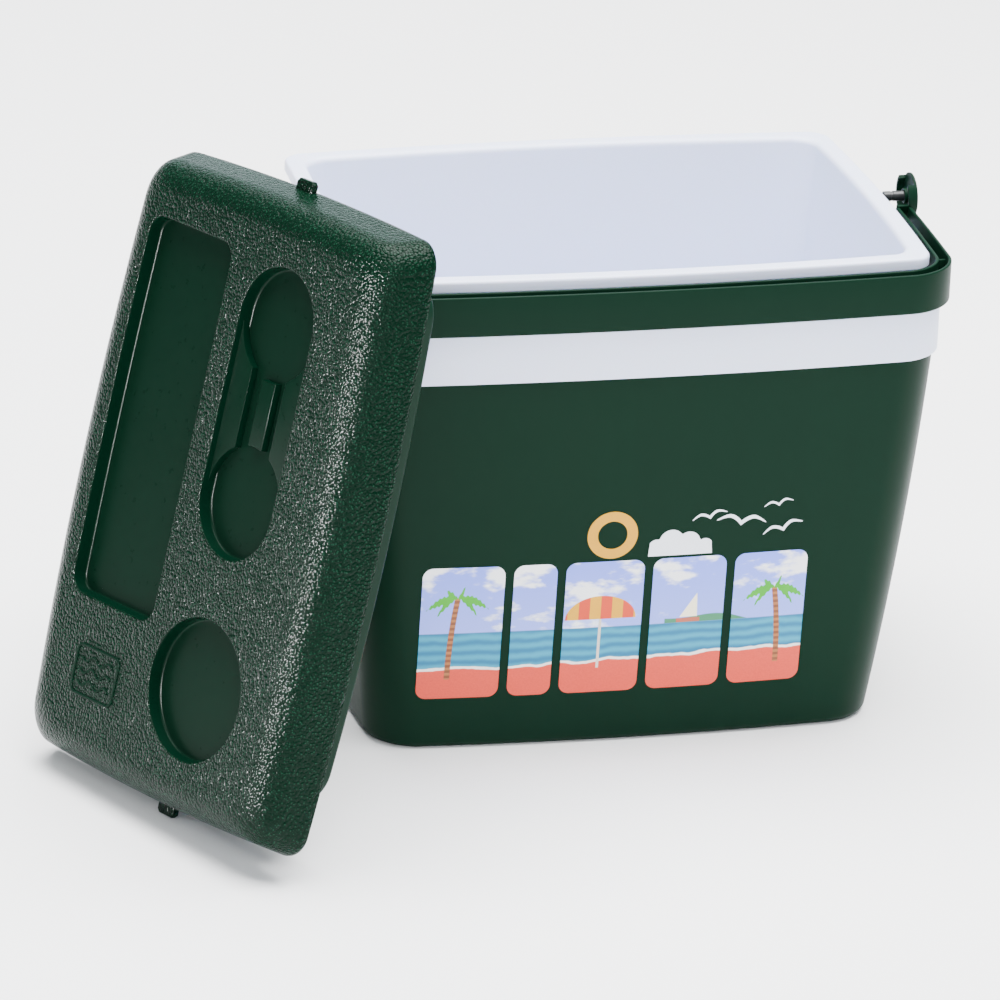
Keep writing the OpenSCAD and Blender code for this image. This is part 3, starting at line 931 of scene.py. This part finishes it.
def cloud_loop():
    """A low cloud with a flat base and four puffs."""
    xs = np.linspace(3.5, 47, 60)
    tops = np.full(len(xs), CLOUD_BASE)
    for x, z, r in PUFFS:
        rise = np.maximum(r * r - (xs - x) ** 2, 0)
        tops = np.maximum(tops, np.where(rise > 0, z + np.sqrt(rise), CLOUD_BASE))
    tops[0] = tops[-1] = CLOUD_BASE + 0.6
    low = np.full(len(xs), CLOUD_BASE)
    return list(zip(xs, low)) + list(zip(xs[::-1], tops[::-1]))


def prints():
    """The windows and, above them, the ring, the cloud and the birds."""
    z0, z1 = WINDOWS_Z
    r = WINDOW_CORNER
    windows = [[round_loop(x0, x1, z0, z1, r, 10, 10, 20)] for x0, x1 in WINDOWS_X]
    grids = [grid_inside(x0 + 2, x1 - 2, z0 + r, z1 - r) for x0, x1 in WINDOWS_X]
    front_print("print_windows", windows, BEACH, "front_panels", grids)
    sun = [arc(SUN_PLACE, 17, 0, 360, 72)[:-1], arc(SUN_PLACE, 10, 0, 360, 56)[:-1]]
    front_print("print_sun", [sun], YELLOW, "front_sun")
    front_print("print_cloud", [[cloud_loop()]], PAPER, "front_cloud")
    birds = [[gull(*bird)] for bird in FLOCK]
    front_print("print_birds", birds, PAPER, "front_birds")


# ---------------------------------------------------------------- stage, lights and camera

FLOOR_HALF = 9.0
SENSOR_WIDTH = 36
# The focal length as a multiple of the picture's width.
FOCAL_WIDTHS = 7.7694
CAMERA_PLACE = (-1.3003, -4.6928, 2.0253)
CAMERA_ANGLES = (14.778, 21.37, 2.386)


def floor():
    """A plain pale floor, far larger than the view."""
    mesh = bpy.data.meshes.new("floor")
    corners = [(-FLOOR_HALF, -FLOOR_HALF, 0), (FLOOR_HALF, -FLOOR_HALF, 0),
               (FLOOR_HALF, FLOOR_HALF, 0), (-FLOOR_HALF, FLOOR_HALF, 0)]
    mesh.from_pydata(corners, [], [(0, 1, 2, 3)])
    obj = bpy.data.objects.new("floor", mesh)
    bpy.context.scene.collection.objects.link(obj)
    look = Look("floor", Roughness=0.9, Specular_IOR_Level=0.1)
    look.shader.inputs["Base Color"].default_value = (0.96, 0.96, 0.965, 1)
    mesh.materials.append(look.material)


def area_light(name, place, target, size, power, colour=(1, 1, 1), diffuse=True):
    """A rectangular light, in metres and watts. Without diffuse it only makes highlights."""
    light = bpy.data.lights.new(name, "AREA")
    light.shape = "RECTANGLE"
    light.size, light.size_y = size
    light.energy = power
    light.color = colour
    obj = bpy.data.objects.new(name, light)
    bpy.context.scene.collection.objects.link(obj)
    obj.location = place
    obj.rotation_euler = (Vector(target) - Vector(place)).to_track_quat("-Z", "Y").to_euler()
    obj.visible_diffuse = diffuse


def studio():
    """A pale sky, a large light above, a weak one in front, and two for the highlights on
    the lid: its grain's sparkle, and the sheen of its upper end."""
    world = bpy.data.worlds.new("studio")
    bpy.context.scene.world = world
    world.use_nodes = True
    sky = world.node_tree.nodes["Background"]
    sky.inputs["Color"].default_value = (0.88, 0.95, 1.0, 1)
    sky.inputs["Strength"].default_value = 0.5
    area_light("top", (0.2, 0.2, 3.2), (0, 0, 0), (3.4, 3.0), 620)
    area_light("front", (-0.6, -2.8, 1.6), (0, 0, 0.15), (1.8, 1.0), 66, (0.96, 0.98, 1))
    area_light("sparkle", (-1.41, -0.64, 0.46), (-0.24, -0.22, 0.3), (0.12, 0.12), 150,
               diffuse=False)
    area_light("back", (0.7, 3.2, 0.75), (-0.2, -0.1, 0.35), (2.6, 1.2), 20,
               (0.78, 0.93, 1.0), diffuse=False)


def camera():
    """A long lens, turned by yaw about the vertical, then pitched down and rolled."""
    data = bpy.data.cameras.new("camera")
    data.sensor_width = SENSOR_WIDTH
    data.lens = FOCAL_WIDTHS * SENSOR_WIDTH
    data.clip_end = 60
    obj = bpy.data.objects.new("camera", data)
    bpy.context.scene.collection.objects.link(obj)
    yaw, pitch, roll = (math.radians(a) for a in CAMERA_ANGLES)
    level = math.cos(pitch)
    ahead = Vector((math.sin(yaw) * level, math.cos(yaw) * level, -math.sin(pitch)))
    right = ahead.cross(Vector((0, 0, 1))).normalized()
    up = right.cross(ahead)
    tilted = right * math.cos(roll) + up * math.sin(roll)
    raised = up * math.cos(roll) - right * math.sin(roll)
    turn = Matrix((tilted, raised, -ahead)).transposed().to_4x4()
    obj.matrix_world = Matrix.Translation(CAMERA_PLACE) @ turn
    bpy.context.scene.camera = obj


outer_shell()
inner_liner()
for end in (-1, 1):
    stud(end)
handle()
lid_shell()
lid_plate()
lid_emblem()
prints()
for hidden in ("foam_jacket", "lid_foam"):
    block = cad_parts[hidden]
    block.data.materials.clear()
    block.data.materials.append(FOAM)
floor()
studio()
camera()
